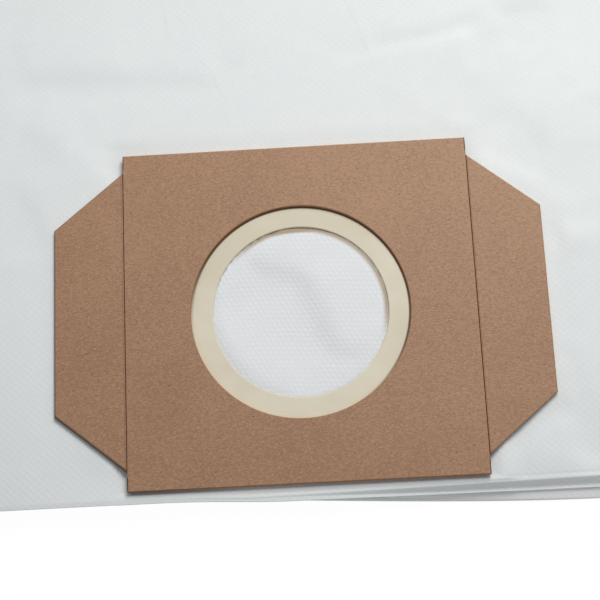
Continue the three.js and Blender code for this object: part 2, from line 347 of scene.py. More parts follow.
def floor_relief(x, y):
    """Height that the back panel stands off the table, in metres: never below 0."""
    px, py = (x - collar[0]) / MM, (y - collar[1]) / MM
    away = np.hypot(px, py)
    total = FLOOR_WAVES * wave_height(px, py, seed=11) + inlet_mound(px, py) + AT_REST
    for crease in INSIDE_CREASES:
        total = total + crease_height(px, py, *crease) * dome(away, 1, 29, 3)
    ceiling = CEILING + dome(away, *CEILING_IN_WEB) + dome(away, *CEILING_IN_RING)
    return np.clip(total, 0, ceiling) * free(x) * MM


# %% [markdown]
# The section itself is drawn ply by ply. The folds of the near side are pressed thin, and where that side
# has slipped, both of them are pulled out towards the viewer. The upper one then slopes down to a flat
# flange, which is the second bright line. The lower one comes out from under the flange as a slope that
# ends in the third line. A shallow groove beside the first line makes it stand out.

# %% Straight plies, round folds and the front panel's height
FOLD_STEPS = 8


def column(values):
    """Values one below the other, because each row of the sheet is one station."""
    return np.asarray(values, dtype=float).reshape(-1, 1)


def half_circle(y, z0, z1, side, steps=FOLD_STEPS):
    """Half a circle from height z0 to z1 that bulges to one side, at every station."""
    angle = np.linspace(-np.pi / 2, np.pi / 2, steps + 1)
    radius = np.abs(z1 - z0) / 2
    return y + side * radius * np.cos(angle), (z0 + z1) / 2 + (z1 - z0) / 2 * np.sin(angle)


def run(y0, z0, y1, z1, shares):
    """Points on a straight ply at the given shares of its length."""
    return y0 + (y1 - y0) * shares, z0 + (z1 - z0) * shares


def panel_height(y, open_share, between):
    """Middle height of the front panel: four plies deep over the gussets, two between, then crowned."""
    over_gusset = WEB / 2 + 3 * WEB + (2 * LOBE_GAP + NOTCH_GAP) * open_share
    inner = np.minimum(y - near_side, far_side - y) - GUSSET
    level = over_gusset + (between - over_gusset) * smooth_step(inner / PLY_STEP)
    t = np.clip((y - flat_end) / (far_side - flat_end), 0, 1)
    return level + CROWN * np.sin(np.pi * t) ** 2 * open_share


# %% The two folds of the near side
PRESSED_FOLD = 0.4
FOLD_RADIUS = 0.11 * MM
FLANGE_TIP, EVEN_TIP = 1.6 * MM, 0.3 * MM
EVEN_DROOP, DROOP, DROOP_FROM, TURNED_UP = 0.16 * MM, 2.3 * MM, 0.28, 0.28
BEAD = 0.05 * MM
# In millimetres: how wide the flange is, how much narrower where the slip is large, and how far inside
# the near side the bend above it lies, when even and with the slip
FLANGE_WIDTH, FLANGE_LOSS = 0.9, 0.35
BEND_EVEN, BEND_SLIPPED, BEND_LAST, BEND_START = 1.0, 1.45, 0.4, 0.5


def slipped_fold(back_fold, radius, crest_y, back, crest_z):
    """The lower fold where it was pulled out: a round nose, then a slope up to the crest."""
    nose = half_circle(back_fold + radius, back, back + 2 * radius, -1, FOLD_STEPS // 2)
    shares = np.array([0.15, 0.4, 0.7, 1.0])
    slope = run(nose[0][:, -1:], nose[1][:, -1:], crest_y, crest_z, shares)
    return np.hstack([nose[0], slope[0]]), np.hstack([nose[1], slope[1]])


def flange_shape(slip, gap):
    """Where the upper fold has its tip, how far below the panel it hangs, and how wide its flange is."""
    pulled = smooth_step(3 * slip)
    tip = near_side - EVEN_TIP - (FLANGE_TIP - EVEN_TIP) * pulled
    droop = (EVEN_DROOP + DROOP * smooth_step((slip - DROOP_FROM) / (1 - DROOP_FROM))) * gap
    width = FLANGE_WIDTH - FLANGE_LOSS * smooth_step((slip - 0.3) / 0.4)
    return tip, droop, (0.1 + smooth_step(5 * slip) * width) * MM


def front_fold(slip, upper, front, gap):
    """The upper fold, pressed thin. Where it was pulled out it droops, and its tip is a flat flange."""
    tip, droop, width = flange_shape(slip, gap)
    bend_pulled = BEND_SLIPPED * slip + BEND_LAST * slip**8 - BEND_START
    bend = near_side + (BEND_EVEN + (bend_pulled - BEND_EVEN) * smooth_step(4 * slip)) * MM
    width = np.minimum(width, bend - tip - FOLD_RADIUS - 0.5 * MM)
    level = front + WEB / 2 - droop - PRESSED_FOLD * WEB / 2 - FOLD_RADIUS
    turned_up = TURNED_UP * (width - 0.1 * MM) * gap
    nose_y, nose_z = half_circle(tip + FOLD_RADIUS, level - FOLD_RADIUS, level + FOLD_RADIUS, -1, 6)
    root, crest = tip + FOLD_RADIUS + width, level + FOLD_RADIUS
    slope_y, slope_z = run(root, crest, bend, front, np.array([0.2, 0.55, 0.96]))
    slope_z = slope_z - (front - crest) * np.array([0.08, 0.10, 0.0])
    under = level - FOLD_RADIUS
    ends = [(tip + 4.5 * MM, upper), (tip + 2.6 * MM, (2 * upper + under) / 3), (tip + 1.2 * MM, under)]
    bead = BEAD * gap * smooth_step(4 * slip)
    last = [(bend + 0.09 * MM, front + bead), (bend + 0.40 * MM, front)]
    fold_y = np.hstack([*(y for y, _ in ends), nose_y, root, slope_y, *(y for y, _ in last)])
    fold_z = [*(z for _, z in ends), nose_z + turned_up, crest, slope_z, *(z for _, z in last)]
    return fold_y, np.hstack(fold_z)


# %% All plies of a section
GROOVE, GROOVE_AWAY, GROOVE_HALF = 0.11 * MM, 0.75 * MM, 0.55 * MM
CREST_LIMIT, CREST_CLEAR, CREST_IN = 3.2 * MM, 0.62 * MM, 0.35 * MM


def section(x):
    """Middle line of the web at stations x: its y, z and share of the full wall, and the panel's columns."""
    x = column(x)
    gap = free(x)
    slip = fan(x)
    pulled = smooth_step(3 * slip)
    back = WEB / 2 + 0 * x
    lower = back + WEB + LOBE_GAP * gap
    upper = lower + WEB + NOTCH_GAP * gap
    front = upper + WEB + LOBE_GAP * gap
    between = back + WEB + CLEAR * gap
    lobe = (front - upper) / 2
    back_fold = near_side + BACK_TUCK * (1 - slip) - BACK_SLIP * slip
    tip, droop, _ = flange_shape(slip, gap)
    crest_y = np.maximum(tip + CREST_IN, back_fold + 1.0 * MM)
    highest = np.minimum(front + WEB / 2 - droop - CREST_CLEAR, CREST_LIMIT)
    crest_z = lower + (highest - lower) * pulled * gap
    radius = np.minimum((0.35 + 1.6 * (1 - slip)) * MM, (crest_z - back) / 2 - 0.2 * MM * gap)

    even = half_circle(back_fold + lobe, back, lower, -1)
    slipped = slipped_fold(back_fold, radius, crest_y, back, crest_z)
    near_lower = [a + (b - a) * pulled for a, b in zip(even, slipped)]
    shares = np.array([0.012, 0.03, 0.055, 0.09, 0.15, 0.3, 0.5, 0.75])
    notch_y = near_side + GUSSET
    start_y, start_z = near_lower[0][:, -1:], near_lower[1][:, -1:]
    settled = smooth_step(shares / 0.1)
    ply_in = start_y + (notch_y - start_y) * shares, start_z + (lower - start_z) * settled
    near_notch = half_circle(notch_y, lower, upper, 1, 6)
    raised = front + collar_lift(x, near_side + 0 * x) * gap
    near_upper = front_fold(slip, upper, raised, gap)
    ply_out = run(notch_y, upper, near_upper[0][:, :1], upper, np.linspace(0, 1, 8)[1:-1])

    start, end = near_upper[0][:, -1:], far_side - lobe
    inner = lines((0.22 * MM, 0.22 * MM), (1.76 * MM, 1.6 * MM), (175 * MM, 3.4 * MM), (288 * MM, 0))
    stretch = (end - start) / (far_side - near_side)
    front_y = start + inner[:-1] * stretch
    front_x = x + 0 * front_y
    front_z = panel_height(front_y, gap, between) + panel_relief(front_x, front_y)
    front_z = front_z + collar_lift(front_x, front_y) * gap
    groove = np.exp(-(((front_y - start - GROOVE_AWAY) / GROOVE_HALF) ** 2))
    front_z = front_z - GROOVE * gap * pulled * groove

    far_upper = half_circle(end, front, upper, 1, 6)
    far_in = run(end, upper, far_side - GUSSET, upper, np.linspace(0, 1, 8)[1:-1])
    far_notch = half_circle(far_side - GUSSET, upper, lower, -1, 6)
    far_out = run(far_side - GUSSET, lower, end, lower, np.linspace(0, 1, 8)[1:-1])
    far_lower = half_circle(end, lower, back, 1, 6)
    nose = near_lower[0][:, :1]
    stops = (3 * MM, 6 * MM), (201 * MM, 1.8 * MM), (256 * MM, 0.8 * MM), (265 * MM, 5 * MM), (287 * MM, 0)
    under = lines(*stops) / (290 * MM)
    back_y = end + (nose - end) * under
    back_z = back + floor_relief(x + 0 * back_y, back_y)

    parts = [near_lower, ply_in, near_notch, ply_out, near_upper, (front_y, front_z), far_upper]
    parts += [far_in, far_notch, far_out, far_lower, (back_y, back_z)]
    ys = [np.broadcast_to(y, (len(x), y.shape[1])) for y, _ in parts]
    zs = [np.broadcast_to(z, y.shape) for z, y in zip((p[1] for p in parts), ys)]
    walls = [np.ones(y.shape) for y in ys]
    walls[0] = 1 - 0.3 * pulled * np.array([0, 0, 0, 0, 0, 0, 0, 0.5, 1])
    walls[4] = walls[4] - (1 - PRESSED_FOLD) * np.array([0, 0, 0.8] + [1] * 8 + [0.8, 0.45] + [0] * 3)
    first = sum(y.shape[1] for y in ys[:5])
    return np.hstack(ys), np.hstack(zs), np.hstack(walls), slice(first, first + front_y.shape[1])


# %% The web, with the inlet cut out of its front panel
web_y, web_z, wall_share, panel = section(stations)
web_x = np.broadcast_to(column(stations), web_y.shape).copy()
web_y = web_y.copy()
rows, columns = web_y.shape
faces = quads(rows, columns, closed=True)

centre_x = (web_x[:-1, :] + web_x[1:, :]) / 2 - collar[0]
middle_y = (web_y + np.roll(web_y, -1, axis=1)) / 2
centre_y = (middle_y[:-1, :] + middle_y[1:, :]) / 2 - collar[1]
on_panel = np.zeros(columns, dtype=bool)
on_panel[panel] = True
cut = (np.hypot(centre_x, centre_y) < INLET / 2) & on_panel
kept, removed = faces[~cut], faces[cut]
rim = np.intersect1d(kept.ravel(), removed.ravel())
offset = np.stack([web_x.ravel()[rim] - collar[0], web_y.ravel()[rim] - collar[1]])
offset *= INLET / 2 / np.hypot(*offset)

step = np.hypot(np.diff(web_y, axis=1, append=web_y[:, :1]), np.diff(web_z, axis=1, append=web_z[:, :1]))
around = np.hstack([np.zeros((rows, 1)), np.cumsum(step, axis=1)])
around -= around[:, panel.start:panel.start + 1]
row_of, column_of = faces[..., 0] // columns, faces[..., 0] % columns
uv_rows = np.stack([row_of, row_of + 1, row_of + 1, row_of], axis=-1)[~cut]
uv_columns = np.stack([column_of, column_of, column_of + 1, column_of + 1], axis=-1)[~cut]
corner_uv = np.stack([stations[uv_rows], around[uv_rows, uv_columns]], axis=-1)

web_points = np.stack([web_x, web_y, web_z], axis=-1).reshape(-1, 3)
web_points[rim, 0] = collar[0] + offset[0]
web_points[rim, 1] = collar[1] + offset[1]
bag = mesh_object("bag_web", web_points, kept)
set_uv(bag, corner_uv)
print(len(rim), "points round the inlet")

# %% [markdown]
# The line through the middle of the web becomes a wall with the Solidify modifier, half to each side. The
# wall is thinner in the end welds, where the fibres are melted together, and in the pressed folds, so a
# vertex group scales it there. The inner face gets a material of its own, because the web is bonded with
# another pattern inside.

# %% The thickness of the web
PRESSED = 0.62
in_weld = smooth_step((np.abs(web_points[:, 0]) - weld_start) / (1.5 * MM))
weights = ((1 - (1 - PRESSED) * in_weld) * wall_share.ravel()).round(2)
group = bag.vertex_groups.new(name="thickness")
numbers = np.unique(kept)
for share in np.unique(weights[numbers]):
    group.add(np.flatnonzero(weights[numbers] == share).tolist(), float(share), "REPLACE")
wall = bag.modifiers.new("wall", "SOLIDIFY")
wall.thickness = WEB
wall.offset = 0
wall.vertex_group = "thickness"
wall.material_offset = 1
wall.material_offset_rim = 0
print("the wall is", round(WEB / MM * weights[numbers].min(), 2), "to", round(WEB / MM, 2), "mm thick")

# %% [markdown]
# The front board is die-cut from one sheet of kraft board: a centre panel with a round hole, and a wing at
# each side that hangs on a cut score. Its grid has lines where something happens, at the scores and the
# roots of the wings, and the rows of a wing close up towards its tip. Top and bottom are two such
# grids, joined by a wall around every free edge, and a narrow bevel takes the sharpness off the cut.

# %% Sizes of the front board
PANEL_WIDTH = 104.5 * MM
WING_NOTCH = 5.6 * MM
WING_TIP = 57.4 * MM
BOARD_HOLE = 65 * MM
SCORE_HALF, SCORE_FLOOR, SCORE_DEPTH = 0.15 * MM, 0.05 * MM, 0.45 * MM
LIP_HEIGHT, LIP_AWAY, LIP_HALF = 0.07 * MM, 0.42 * MM, 0.14 * MM
GRID = 1.5 * MM
CUT_ROUND, CUT_ANGLE = 0.24 * MM, math.radians(78)

half_panel = PANEL_WIDTH / 2
half_height = (board_high - board_low)[1] / 2
half_width = (board_high - board_low)[0] / 2
root = half_height - WING_NOTCH
WING_SLANT = (root - WING_TIP / 2) / (half_width - half_panel)


def wing_half_height(x):
    """Half the board's height at x: full on the panel, and straight from root to tip on a wing."""
    t = (np.abs(x) - half_panel) / (half_width - half_panel)
    return np.where(t > 0, root + (WING_TIP / 2 - root) * t, root)


def score_depth(x):
    """Depth of the cut score, with a raised lip on the wing's side of it."""
    away = np.abs(x) - half_panel
    walls = np.clip((SCORE_HALF - np.abs(away)) / (SCORE_HALF - SCORE_FLOOR), 0, 1)
    lip = np.exp(-(((away - LIP_AWAY) / LIP_HALF) ** 2))
    return SCORE_DEPTH * walls - LIP_HEIGHT * lip


# %% The front board as one closed mesh
lip_lines = [LIP_AWAY - LIP_HALF, LIP_AWAY, LIP_AWAY + LIP_HALF, LIP_AWAY + 2.5 * LIP_HALF]
score_lines = np.array([-SCORE_HALF, -SCORE_FLOOR, 0, SCORE_FLOOR, SCORE_HALF, *lip_lines]) + half_panel
inner_lines = lines((-half_panel + 1 * MM, GRID), (half_panel - 1 * MM, 0))
wing_lines = lines((half_panel + 1.2 * MM, GRID), (half_width, 0))
right_lines = np.concatenate([score_lines, wing_lines])
board_x = np.concatenate([-right_lines[::-1], inner_lines, right_lines])
board_y = lines((-half_height, GRID), (-root, GRID), (root, GRID), (half_height, 0))

grid_x, grid_y = np.meshgrid(board_x, board_y, indexing="ij")
on_wing = np.abs(grid_x) > half_panel + 1e-7
grid_y = np.where(on_wing, np.clip(grid_y, -root, root) * wing_half_height(grid_x) / root, grid_y)
mid_x = (board_x[:-1] + board_x[1:])[:, None] / 2
mid_y = (board_y[:-1] + board_y[1:])[None, :] / 2
there = (np.abs(mid_x) < half_panel) | (np.abs(mid_y) < root)
there = there & (np.hypot(mid_x, mid_y) > BOARD_HOLE / 2)


def free_edges(faces):
    """Edges that only one face uses, in that face's direction, as (n, 2) point numbers."""
    ends = np.stack([faces, np.roll(faces, -1, axis=1)], axis=-1).reshape(-1, 2)
    keys = np.sort(ends, axis=1)
    _, index, count = np.unique(keys, axis=0, return_index=True, return_counts=True)
    return ends[index[count == 1]]


def closed_plate(name, x, y, top, bottom, there):
    """A plate between heights top and bottom over the faces that are there, with walls at its edges."""
    faces = quads(*x.shape)[there]
    count = x.size
    edges = free_edges(faces)
    walls = np.stack([edges[:, 1], edges[:, 0], edges[:, 0] + count, edges[:, 1] + count], axis=-1)
    upper = np.stack([x, y, top], axis=-1).reshape(-1, 3)
    lower = np.stack([x, y, bottom], axis=-1).reshape(-1, 3)
    every = np.concatenate([faces, faces[:, ::-1] + count, walls])
    return mesh_object(name, np.concatenate([upper, lower]), every, smooth=False)


all_faces = quads(*grid_x.shape)
hole_rim = np.intersect1d(all_faces[there].ravel(), all_faces[~there].ravel())
flat_x, flat_y = grid_x.ravel(), grid_y.ravel()
near_hole = hole_rim[np.hypot(flat_x[hole_rim], flat_y[hole_rim]) < BOARD_HOLE / 2 + 2 * GRID]
stretch = BOARD_HOLE / 2 / np.hypot(flat_x[near_hole], flat_y[near_hole])
flat_x[near_hole] *= stretch
flat_y[near_hole] *= stretch
grid_x, grid_y = flat_x.reshape(grid_x.shape), flat_y.reshape(grid_y.shape)
board_top = face_z - score_depth(grid_x) * (np.abs(grid_y) < root + 1e-6)
front = closed_plate(
    "collar_front", grid_x + collar[0], grid_y + collar[1], board_top, 0 * grid_x + board_low[2], there
)
cut_edge = front.modifiers.new("cut_edge", "BEVEL")
cut_edge.width = CUT_ROUND
cut_edge.segments = 2
cut_edge.use_clamp_overlap = False
cut_edge.limit_method = "ANGLE"
cut_edge.angle_limit = CUT_ANGLE
print("front board", len(front.data.polygons), "faces")

# %% [markdown]
# The ring is punched from rubber sheet. Its section is a flat strip whose inner edge is rounded and sags a
# little, because nothing holds it there. The section is carried around the inlet.

# %% The seal ring
RING_HOLE = 52.2 * MM
RING_SIDES = 180
SAG, RING_ROUND, RING_CORNER = 0.08 * MM, 0.38 * MM, 0.03 * MM
ring_outer = (ring_high - ring_low)[0] / 2
ring_inner = RING_HOLE / 2
thick = ring_high[2] - ring_low[2]


def ring_section():
    """Outline of the strip as radius and height: inner end rounded on top, outer end square."""
    angle = np.linspace(np.pi / 2, np.pi, 8)
    nose_r = ring_inner + RING_ROUND + RING_ROUND * np.cos(angle)
    nose_z = ring_high[2] - RING_ROUND + RING_ROUND * np.sin(angle)
    corner = [(ring_inner, ring_low[2] + RING_CORNER), (ring_inner + RING_CORNER, ring_low[2])]
    flat = np.linspace(ring_inner + thick, ring_outer, 16)
    over = np.column_stack([flat[::-1], np.full(16, ring_high[2])])
    under = np.column_stack([flat, np.full(16, ring_low[2])])
    return np.concatenate([over, np.column_stack([nose_r, nose_z]), corner, under])


outline = ring_section()
turn = np.linspace(0, 2 * np.pi, RING_SIDES, endpoint=False)[:, None]
radius, height = outline[:, 0][None, :], outline[:, 1][None, :]
to_free_edge = smooth_step((BOARD_HOLE / 2 - radius) / (BOARD_HOLE / 2 - ring_inner))
lifted = height - SAG * to_free_edge**2 * (1 + 0.35 * np.sin(2 * turn + 0.6) + 0.2 * np.sin(3 * turn))
ring_points = np.stack([radius * np.cos(turn), radius * np.sin(turn), lifted], axis=-1)
ring_points[..., :2] += collar[:2]
ring_faces = quads(RING_SIDES + 1, len(outline), closed=True) % (RING_SIDES * len(outline))
ring = mesh_object("inlet_seal", ring_points.reshape(-1, 3), ring_faces.reshape(-1, 4)[:, ::-1])
print("seal ring", len(ring.data.polygons), "faces")

# %% [markdown]
# Shader sums read best as ordinary arithmetic. A Wire stands for the output of a node, and adding or
# multiplying wires adds the Math nodes. Every other kind of node comes from one method, which takes
# the node's type, its settings and what goes into its sockets.

# %% A small language for materials
class Wire:
    """The output of a shader node, which can be used in sums."""

    def __init__(self, sheet, socket):
        self.sheet = sheet
        self.socket = socket

    def _math(self, operation, *values):
        return self.sheet.node("ShaderNodeMath", {"operation": operation}, dict(enumerate(values)))

    def __add__(self, other):
        return self._math("ADD", self, other)

    def __sub__(self, other):
        return self._math("SUBTRACT", self, other)

    def __rsub__(self, other):
        return self._math("SUBTRACT", other, self)

    def __mul__(self, other):
        return self._math("MULTIPLY", self, other)

    def __pow__(self, other):
        return self._math("POWER", self, other)

    __radd__ = __add__
    __rmul__ = __mul__

    def cosine(self):
        return self._math("COSINE", self)

    def magnitude(self):
        return self._math("ABSOLUTE", self)

    def above(self, low, high):
        """0 below low and 1 above high, with a smooth step between."""
        settings = {"interpolation_type": "SMOOTHSTEP"}
        sockets = {"Value": self, "From Min": low, "From Max": high}
        return self.sheet.node("ShaderNodeMapRange", settings, sockets)


class Finish:
    """One material: its node tree, and the shader that its looks go into."""

    def __init__(self, name, roughness, specular=0.5, sheen=0.0):
        self.material = bpy.data.materials.new(name)
        self.material.use_nodes = True
        self.tree = self.material.node_tree
        self.shader = next(n for n in self.tree.nodes if n.type == "BSDF_PRINCIPLED")
        self.shader.inputs["Roughness"].default_value = roughness
        self.shader.inputs["Specular IOR Level"].default_value = specular
        self.shader.inputs["Sheen Weight"].default_value = sheen

    def node(self, kind, settings=None, sockets=None, output=0):
        made = self.tree.nodes.new(kind)
        for key, value in (settings or {}).items():
            setattr(made, key, value)
        for key, value in (sockets or {}).items():
            self.feed(made.inputs[key], value)
        return Wire(self, made.outputs[output])

    def feed(self, socket, value):
        if isinstance(value, Wire):
            self.tree.links.new(value.socket, socket)
        else:
            socket.default_value = value

    def place(self, uv=False):
        """X, Y and Z of the point: on the flat web for uv, or else on the piece, in metres."""
        if uv:
            vector = self.node("ShaderNodeUVMap", {"uv_map": "web"})
        else:
            vector = self.node("ShaderNodeTexCoord", output="Object")
        return vector, [self.node("ShaderNodeSeparateXYZ", None, {0: vector}, i) for i in range(3)]

    def scaled(self, vector, scale):
        """The vector with X, Y and Z each multiplied, which sets the size and stretch of a pattern."""
        return self.node("ShaderNodeVectorMath", {"operation": "MULTIPLY"}, {0: vector, 1: scale})

    def noise(self, vector, size, detail, roughness, stretch=None):
        """Blotches of about that size in metres, drawn out along an axis whose stretch is below 1."""
        at = self.scaled(vector, stretch) if stretch else vector
        sockets = {"Vector": at, "Scale": 1 / size, "Detail": detail, "Roughness": roughness}
        return self.node("ShaderNodeTexNoise", None, sockets)

    def mix(self, factor, a, b):
        sockets = {0: factor, 6: a, 7: b}
        return self.node("ShaderNodeMix", {"data_type": "RGBA"}, sockets, 2)

    def bump(self, height, distance):
        """Height, a number around 0 to 1, as a bump of that many metres."""
        sockets = {"Height": height, "Distance": distance, "Strength": 1.0}
        self.feed(self.shader.inputs["Normal"], self.node("ShaderNodeBump", None, sockets))

    def colour(self, value):
        self.feed(self.shader.inputs["Base Color"], value)

    def roughness(self, value):
        self.feed(self.shader.inputs["Roughness"], value)

    def give_to(self, *pieces):
        """Makes the material the next one of each piece."""
        for piece in pieces:
            piece.data.materials.append(self.material)
        print(self.material.name, "has", len(self.tree.nodes), "nodes")


def paint(red, green, blue):
    """A colour as a picture's 0 to 255 levels, made into the linear values that Blender works in."""
    levels = np.array([red, green, blue]) / 255
    linear = np.where(levels <= 0.04045, levels / 12.92, ((levels + 0.055) / 1.055) ** 2.4)
    return (*linear.tolist(), 1.0)


# %% [markdown]
# Spunbond non-woven is a web of fine white fibres, tacked together by a heated roller with a pattern of
# raised points. Each point leaves a small dimple. The outer face has rows of points set as the centres
# and corners of small oblongs, and a product of two cosines has its peaks exactly there. The inner face
# shows a closer pattern of three directions, which is a sum of three cosines. Between the points
# the fibres lie in clouds, thicker here and thinner there, and slightly darker where they are thin. The
# points are pressed deeper towards the near side. The lower folds there are painted a lighter white than
# the panel, as painted light that stands in for light coming through the thin cloth. On the inner face a
# narrow strip at the far side of the inlet is painted brown, as painted shade under the ring and the fold.

# %% Patterns of the non-woven
POINT_WIDTH, POINT_HEIGHT = 2.30 * MM, 2.105 * MM
INNER_PITCH = 1.41 * MM
# Creases as sharp as a fingernail's: start and end in millimetres from the inlet's centre
SHARP_CREASES = [
    ((-28.6, 83.4), (-25.0, 79.3)),
    ((-25.0, 79.3), (-21.3, 70.1)),
    ((18.5, 99.8), (21.8, 90.9)),
    ((21.8, 90.9), (25.8, 78.8)),
    ((-38.7, 101.6), (-37.8, 90.0)),
    ((-90.4, 90.5), (-76.2, 91.3)),
]
SHARP_HALF = 0.6 * MM


def outer_points(u, v):
    """Peaks of 1 at the corners and centres of oblongs of POINT_WIDTH by POINT_HEIGHT."""
    return (u * (2 * math.pi / POINT_WIDTH)).cosine() * (v * (2 * math.pi / POINT_HEIGHT)).cosine()


def inner_points(u, v):
    """Peaks where three sets of lines cross at 60 degrees to each other, scaled to reach 1."""
    total = 0.0
    for degrees in (31.5, 91.5, 151.5):
        turn = math.radians(degrees)
        lines_at = u * (math.cos(turn) / INNER_PITCH) + v * (math.sin(turn) / INNER_PITCH)
        total = total + (lines_at * (2 * math.pi)).cosine() * (1 / 3)
    return total


def sharp_crease(x, y, start, end):
    """1 just beside the line on the lamp's side, falling steeply across it and slowly away from it."""
    start, end = np.array(start) * MM + collar[:2], np.array(end) * MM + collar[:2]
    length = float(np.hypot(*(end - start)))
    tx, ty = ((end - start) / length).tolist()
    side = 1.0 if tx * TO_LAMP[1] - ty * TO_LAMP[0] > 0 else -1.0
    along = x * tx + y * ty - float(start[0] * tx + start[1] * ty)
    across = x * (-ty * side) + y * (tx * side) - float(-start[0] * ty + start[1] * tx) * side
    steep = across.above(-SHARP_HALF, SHARP_HALF) * (1.0 - across.above(SHARP_HALF, 7 * SHARP_HALF))
    ends = along.above(-2 * MM, 2 * MM) * (1.0 - along.above(length - 2 * MM, length + 2 * MM))
    return steep * ends


# %% Colour and bump that both faces share
CLOUD_SIZE, FIBRE_SIZE, RIB_PITCH = 5.5 * MM, 0.8 * MM, 1.9 * MM
# Heights of the bump in millimetres
POINTS_HIGH, INNER_HIGH, SHARP_HIGH = 0.021, 0.056, 0.05
CLOUDS_HIGH, FIBRES_HIGH, RIBS_HIGH = 0.034, 0.07, 0.12
# The lowest white is painted light for the lower near folds, standing in for light through the thin cloth
WHITE, WHITE_THIN, LOW_FOLD_PAINTED_LIGHT = paint(236, 239, 239), paint(227, 231, 232), paint(252, 252, 250)
INSIDE, INSIDE_THIN = paint(238, 240, 242), paint(226, 229, 232)
# Both browns are painted shade on the inner face: a warm strip just inside the ring's far edge, and the
# strip beyond the fold
RIM_PAINTED_SHADE, INSIDE_SHADE = paint(180, 164, 142), paint(178, 160, 138)


class NonWoven(Finish):
    """Finish of one face of the web. far_depth is how deep its points are at the far side."""

    def __init__(self, name, points, points_high, far_depth, white, thin):
        super().__init__(name, roughness=0.92, specular=0.25, sheen=0.05)
        flat, (u, v, _) = self.place(uv=True)
        self.x, self.y, self.z = self.place()[1]
        clouds = self.noise(flat, CLOUD_SIZE, 4.0, 0.6)
        pressed = 1.0 - (self.y - collar[1]).above(-60 * MM, 60 * MM) * (1 - far_depth)
        weave = points(u, v) * (clouds.above(0.3, 0.7) * 0.9 + 0.35) * pressed
        fibres = self.noise(flat, FIBRE_SIZE, 2.0, 0.65, (1.0, 1.5, 1.0))
        self.weld = u.magnitude().above(weld_start, weld_start + 0.6 * MM)
        ribs = [(line * (2 * math.pi / RIB_PITCH)).cosine() for line in (u + v, u - v)]
        self.weld_height = (ribs[0] * ribs[1]).above(-0.3, 0.6) * RIBS_HIGH
        thinness = (1.0 - clouds) * 0.55 + (fibres - 0.5) * 0.8 - weave * 0.15 + 0.12 + self.weld * 0.25
        self.tone = self.mix(thinness.above(0.0, 1.1), white, thin)
        self.height = weave * points_high + fibres * FIBRES_HIGH + clouds * CLOUDS_HIGH

    def close(self):
        """Joins colour and bump to the shader and gives the material to the web."""
        self.colour(self.tone)
        self.bump(self.height * (1.0 - self.weld) + self.weld_height * self.weld, MM)
        self.give_to(bag)


# %% The outer face: painted light on the lower folds, and sharp creases
outside = NonWoven("non_woven_outside", outer_points, POINTS_HIGH, 0.5, WHITE, WHITE_THIN)
# Painted light: below the panel, the near folds are mixed towards a lighter white
near_fold = 1.0 - outside.y.above(near_side + 1 * MM, near_side + 4 * MM)
below_panel = 1.0 - outside.z.above(2.2 * MM, 3.0 * MM)
outside.tone = outside.mix(below_panel * near_fold * 0.8, outside.tone, LOW_FOLD_PAINTED_LIGHT)
raised_part = outside.z.above(4.2 * MM, 5.0 * MM)
for start, end in SHARP_CREASES:
    line = sharp_crease(outside.x, outside.y, start, end)
    outside.height = outside.height + line * raised_part * SHARP_HIGH
outside.close()

# %% The inner face: painted shade at the far side of the inlet
inside = NonWoven("non_woven_inside", inner_points, INNER_HIGH, 1.0, INSIDE, INSIDE_THIN)
px, py = inside.x - collar[0], inside.y - collar[1]
away = (px**2.0 + py**2.0) ** 0.5
at_inlet = 1.0 - away.above(27 * MM, 30 * MM)
# Painted shade: a warm brown strip just inside the ring, on the lamp's side
painted_rim_shade = away.above(24.0 * MM, 25.7 * MM) * (1.0 - away.above(25.6 * MM, 26.1 * MM) * 0.4)
painted_rim_shade = painted_rim_shade * (px * 0.5 + py * 0.87).above(2 * MM, 14 * MM) * at_inlet
inside.tone = inside.mix(painted_rim_shade, inside.tone, RIM_PAINTED_SHADE)
# Painted shade beyond the fold at the inlet's far side
beyond_fold = (py - (FOLD_Y - 0.1) * MM) - (px - FOLD_X * MM) * FOLD_LEAN
inside.tone = inside.mix(beyond_fold.above(0.0, 1.2 * MM) * at_inlet, inside.tone, INSIDE_SHADE)
inside.close()

# %% [markdown]
# Kraft board is pressed from long brown fibres that mostly lie along the machine's direction. Close up it
# shows a fine mottle, drawn out along X, with scattered dark specks of bark and a few pale fibres. Its
# tone varies in broad blotches, and is painted lighter towards the far right, where the lamp stands, as
# painted light. The cut edges are a darker brown than the face. On the sides that face the lamp they are
# painted paler, with a painted highlight along their top, and on the left they are painted darker, as
# painted shade, most of all in a strip along the left wing's near slant and outer edge. The inside of a
# score is painted a dark red-brown, as painted shade.

# %% Finish of the kraft board
MOTTLE_SIZE, BLOTCH_SIZE, STRAND_SIZE = 0.95 * MM, 22 * MM, 0.66 * MM
GRAIN_SIZE, SPECK_CELL, BOARD_BUMP = 0.26 * MM, 4.1 * MM, 0.035 * MM
KRAFT, KRAFT_DARK, KRAFT_PALE = paint(170, 131, 100), paint(139, 102, 74), paint(190, 153, 121)
# Of the cut colours, the darkest is painted shade, the pale one painted light and the rim a painted
# highlight, for cut sides facing away from or towards the lamp; the score's red-brown is painted shade
SPECK, CUT, CUT_PAINTED_SHADE = paint(78, 52, 38), paint(146, 102, 68), paint(58, 36, 20)
CUT_PAINTED_LIGHT, CUT_PAINTED_HIGHLIGHT, SCORE_PAINTED_SHADE = paint(186, 150, 118), paint(236, 214, 184), paint(108, 62, 32)


